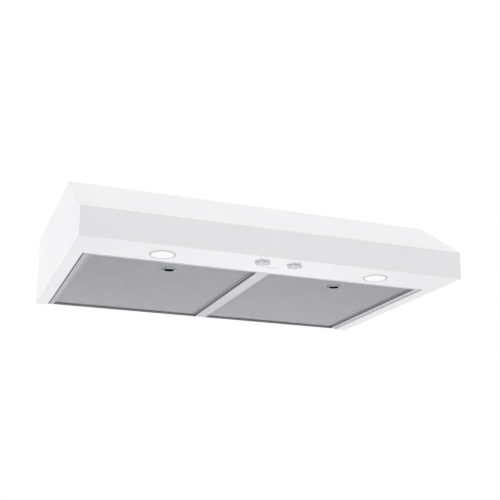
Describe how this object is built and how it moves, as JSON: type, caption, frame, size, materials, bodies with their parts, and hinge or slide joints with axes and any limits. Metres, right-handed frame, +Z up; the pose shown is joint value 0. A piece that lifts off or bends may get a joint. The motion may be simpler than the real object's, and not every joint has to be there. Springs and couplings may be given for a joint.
{
  "type": "under cabinet range hood",
  "caption": "White under-cabinet range hood with a sloped front, hinged mesh grease filters with finger latches, round lamps, lobed control knobs, a centrifugal blower and a damped duct outlet.",
  "frame": {"origin": "middle of the four cabinet screw holes, on the outer face of the top", "axes": "+X to the right as seen from the front, +Y towards the wall, +Z up"},
  "size_m": [0.76, 0.508, 0.195],
  "materials": {
    "white_enamel": "smooth satin white baked enamel",
    "galvanised": "spangled zinc coating",
    "tray_paint": "light grey satin coat",
    "filter_edge": "mill finish, crimped",
    "filter_mesh": "layered expanded aluminium mesh",
    "latch_plastic": "bright plated",
    "spring_steel": "bright spring steel",
    "bezel": "satin grey ring",
    "diffuser": "opal diffuser",
    "circuit_board": "white solder mask",
    "cast_aluminium": "cast, fine grained",
    "knob_plastic": "light grey moulded",
    "bright_steel": "zinc plated",
    "black_plastic": "moulded nylon",
    "motor_steel": "black painted stack",
    "wheel_aluminium": "stamped bright",
    "capacitor_can": "smooth can"
  },
  "bodies": {
    "housing": {"hood_shell": "white_enamel", "side_panel_left": "white_enamel", "side_panel_right": "white_enamel", "back_panel": "galvanised", "rear_duct_cover": "galvanised", "bottom_pan": "white_enamel", "filter_rail_front": "tray_paint", "filter_rail_left": "tray_paint", "filter_rail_right": "tray_paint", "filter_divider": "tray_paint", "filter_rear_ledge": "galvanised", "switch_nuts": "bright_steel", "fan_switch": "black_plastic", "light_switch": "black_plastic", "motor": "motor_steel", "motor_bracket": "galvanised", "motor_capacitor": "capacitor_can", "blower_scroll_left": "galvanised", "blower_scroll_right": "galvanised", "inlet_ring_left": "black_plastic", "inlet_ring_right": "black_plastic", "duct_connector": "galvanised", "damper_pin": "bright_steel", "wiring_box": "galvanised", "wiring_box_cover": "galvanised", "terminal_block": "black_plastic", "led_driver": "black_plastic", "connector_screws": "bright_steel", "rear_cover_screws": "bright_steel", "tray_rivets": "bright_steel", "lamp_bezel_left": "bezel", "lamp_bezel_right": "bezel", "lamp_lens_left": "diffuser", "lamp_lens_right": "diffuser", "lamp_boards": "circuit_board", "lamp_heat_sink_left": "cast_aluminium", "lamp_heat_sink_right": "cast_aluminium", "lamp_clips": "spring_steel"},
    "filter_left": {"filter_frame_left": "filter_edge", "filter_mesh_left": "filter_mesh", "filter_tabs_left": "filter_edge", "latch_cover_left": "filter_edge", "latch_springs_left": "spring_steel"},
    "latch_left": {"latch_collar_left": "latch_plastic", "latch_tongue_left": "spring_steel"},
    "filter_right": {"filter_frame_right": "filter_edge", "filter_mesh_right": "filter_mesh", "filter_tabs_right": "filter_edge", "latch_cover_right": "filter_edge", "latch_springs_right": "spring_steel"},
    "latch_right": {"latch_collar_right": "latch_plastic", "latch_tongue_right": "spring_steel"},
    "fan_control": {"fan_knob": "knob_plastic", "fan_shaft": "bright_steel"},
    "light_control": {"light_knob": "knob_plastic", "light_shaft": "bright_steel"},
    "blower_rotor": {"motor_shaft": "bright_steel", "blower_wheel_left": "wheel_aluminium", "blower_wheel_right": "wheel_aluminium"},
    "damper": {"damper_flap": "galvanised"}
  },
  "joints": [
    {"name": "filter_left_hinge", "type": "hinge", "parent": "housing", "child": "filter_left", "pos_m": [-0.177, 0.179, -0.14415], "axis": [1, 0, 0], "range_deg": [0, 60], "deforming": ["latch_tongue_left"]},
    {"name": "latch_left_slide", "type": "slide", "parent": "filter_left", "child": "latch_left", "axis": [0, 1, 0], "range_m": [0, 0.0055], "stiffness_N_per_m": 300, "springref_m": -0.004, "deforming": ["latch_springs_left"]},
    {"name": "filter_right_hinge", "type": "hinge", "parent": "housing", "child": "filter_right", "pos_m": [0.177, 0.179, -0.14415], "axis": [1, 0, 0], "range_deg": [0, 60], "deforming": ["latch_tongue_right"]},
    {"name": "latch_right_slide", "type": "slide", "parent": "filter_right", "child": "latch_right", "axis": [0, 1, 0], "range_m": [0, 0.0055], "stiffness_N_per_m": 300, "springref_m": -0.004, "deforming": ["latch_springs_right"]},
    {"name": "fan_knob_turn", "type": "hinge", "parent": "housing", "child": "fan_control", "pos_m": [-0.0325, -0.29, -0.149], "axis": [0, 0, 1], "range_deg": [0, 270]},
    {"name": "light_knob_turn", "type": "hinge", "parent": "housing", "child": "light_control", "pos_m": [0.0325, -0.29, -0.149], "axis": [0, 0, 1], "range_deg": [0, 180]},
    {"name": "blower_spin", "type": "hinge", "parent": "housing", "child": "blower_rotor", "pos_m": [0, 0.09025, -0.071], "axis": [1, 0, 0], "continuous": true},
    {"name": "damper_swing", "type": "hinge", "parent": "housing", "child": "damper", "pos_m": [0, 0.07125, 0.0115], "axis": [1, 0, 0], "range_deg": [0, 75]}
  ]
}
